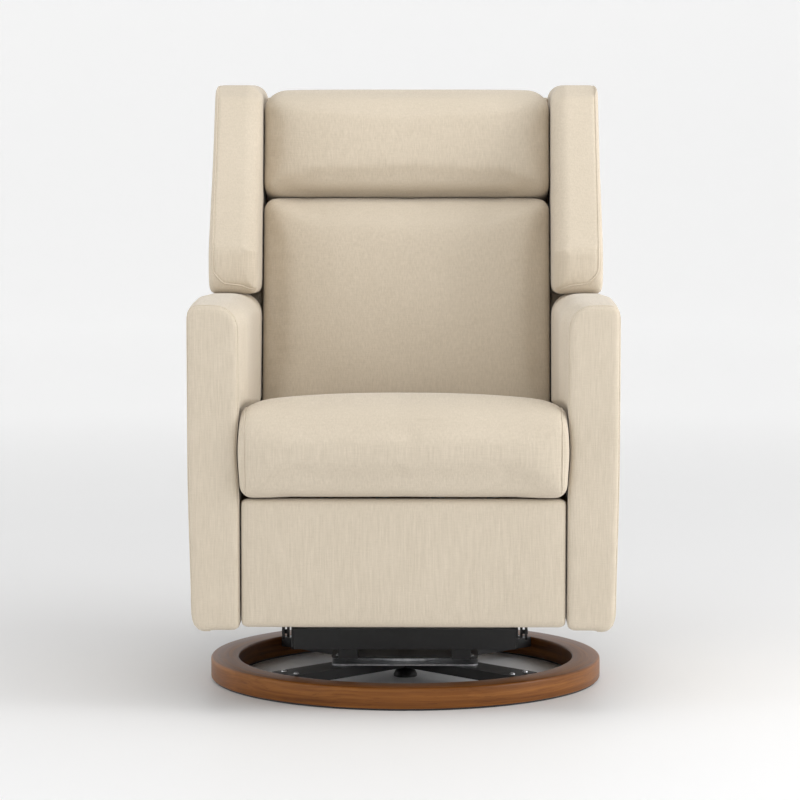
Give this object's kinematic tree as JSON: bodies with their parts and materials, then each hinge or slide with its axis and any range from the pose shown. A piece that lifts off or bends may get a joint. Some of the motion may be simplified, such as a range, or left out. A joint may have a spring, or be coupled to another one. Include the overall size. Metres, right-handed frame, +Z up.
{
  "type": "glider nursery chair",
  "caption": "Wing-back upholstered swivel glider with a reclining back and a fold-out footrest, standing on a round wooden ring base.",
  "frame": {"origin": "middle of the chair's outline in plan, on the floor under the ring", "axes": "the sitter faces -Y, +X is to the right of someone who looks at the chair's front, +Z is up"},
  "size_m": [0.73, 0.9073, 1.065],
  "materials": {
    "fabric": "cream slubbed woven upholstery",
    "stained_wood": "walnut-stained satin wood",
    "frame_timber": "bare plywood",
    "black_steel": "black semi-gloss paint",
    "zinc_steel": "zinc plated",
    "black_plastic": "black moulded plastic"
  },
  "bodies": {
    "base": {"wood_ring": "stained_wood", "ring_pad": "black_plastic", "cross_frame": "black_steel", "centre_foot": "black_plastic", "bearing_lower_plate": "zinc_steel", "bearing_ball_race": "zinc_steel", "pivot_bolt": "zinc_steel"},
    "swivel_frame": {"bearing_upper_plate": "black_steel", "left_bearer": "black_steel", "right_bearer": "black_steel", "front_glider_rail": "black_steel", "rear_glider_rail": "black_steel", "left_glider_stand": "black_steel", "right_glider_stand": "black_steel", "front_left_glide_pin": "zinc_steel", "rear_left_glide_pin": "zinc_steel", "front_right_glide_pin": "zinc_steel", "rear_right_glide_pin": "zinc_steel"},
    "front_glide_links": {"front_left_glide_link": "black_steel", "front_right_glide_link": "black_steel"},
    "rear_glide_links": {"rear_left_glide_link": "black_steel", "rear_right_glide_link": "black_steel"},
    "seat_body": {"left_mechanism_rail": "black_steel", "right_mechanism_rail": "black_steel", "front_cross_tube": "black_steel", "rear_cross_tube": "black_steel", "left_recline_bracket": "black_steel", "right_recline_bracket": "black_steel", "seat_frame": "frame_timber", "seat_spring_1": "zinc_steel", "seat_spring_2": "zinc_steel", "seat_spring_3": "zinc_steel", "seat_spring_4": "zinc_steel", "seat_cushion": "fabric", "left_arm": "fabric", "right_arm": "fabric", "left_arm_pad": "fabric", "right_arm_pad": "fabric", "rear_apron": "fabric"},
    "back": {"back_frame": "frame_timber", "back_cushion": "fabric", "head_cushion": "fabric", "left_wing": "fabric", "right_wing": "fabric", "outside_back": "fabric", "left_back_hinge_plate": "black_steel", "right_back_hinge_plate": "black_steel", "left_recline_pin": "zinc_steel", "right_recline_pin": "zinc_steel"},
    "footrest_lower_links": {"left_lower_link": "black_steel", "right_lower_link": "black_steel"},
    "footrest_upper_links": {"left_upper_link": "black_steel", "right_upper_link": "black_steel", "footrest_cross_tube": "black_steel"},
    "footrest": {"footrest_board": "frame_timber", "footrest_pad": "fabric", "left_panel_bracket": "black_steel", "right_panel_bracket": "black_steel"}
  },
  "joints": [
    {"name": "swivel", "type": "hinge", "parent": "base", "child": "swivel_frame", "pos_m": [0, -0.04459, 0.0533], "axis": [0, 0, 1], "continuous": true},
    {"name": "glide", "type": "hinge", "parent": "swivel_frame", "child": "front_glide_links", "pos_m": [0, -0.16459, 0.2], "axis": [1, 0, 0], "range_deg": [-20, 20]},
    {"name": "rear_link_swing", "type": "hinge", "parent": "swivel_frame", "child": "rear_glide_links", "pos_m": [0, 0.07541, 0.2], "axis": [1, 0, 0], "range_deg": [-20, 20]},
    {"name": "seat_level", "type": "hinge", "parent": "front_glide_links", "child": "seat_body", "pos_m": [0, -0.16459, 0.1], "axis": [1, 0, 0], "range_deg": [-20, 20]},
    {"name": "recline", "type": "hinge", "parent": "seat_body", "child": "back", "pos_m": [0, 0.25541, 0.36], "axis": [-1, 0, 0], "range_deg": [0, 30]},
    {"name": "footrest_fold", "type": "hinge", "parent": "seat_body", "child": "footrest_lower_links", "pos_m": [0, -0.19459, 0.315], "axis": [-1, 0, 0], "range_deg": [0, 112]},
    {"name": "footrest_knee", "type": "hinge", "parent": "footrest_lower_links", "child": "footrest_upper_links", "pos_m": [0, -0.11006, 0.13374], "axis": [1, 0, 0], "range_deg": [0, 125]},
    {"name": "footrest_panel_turn", "type": "hinge", "parent": "footrest_upper_links", "child": "footrest", "pos_m": [0, -0.36999, 0.23], "axis": [-1, 0, 0], "range_deg": [0, 103]}
  ],
  "couplings": [
    {"joint": "rear_link_swing", "follows": "glide", "ratio": 1},
    {"joint": "seat_level", "follows": "glide", "ratio": -1},
    {"joint": "footrest_knee", "follows": "footrest_fold", "ratio": 1.11},
    {"joint": "footrest_panel_turn", "follows": "footrest_fold", "ratio": 0.9136}
  ]
}
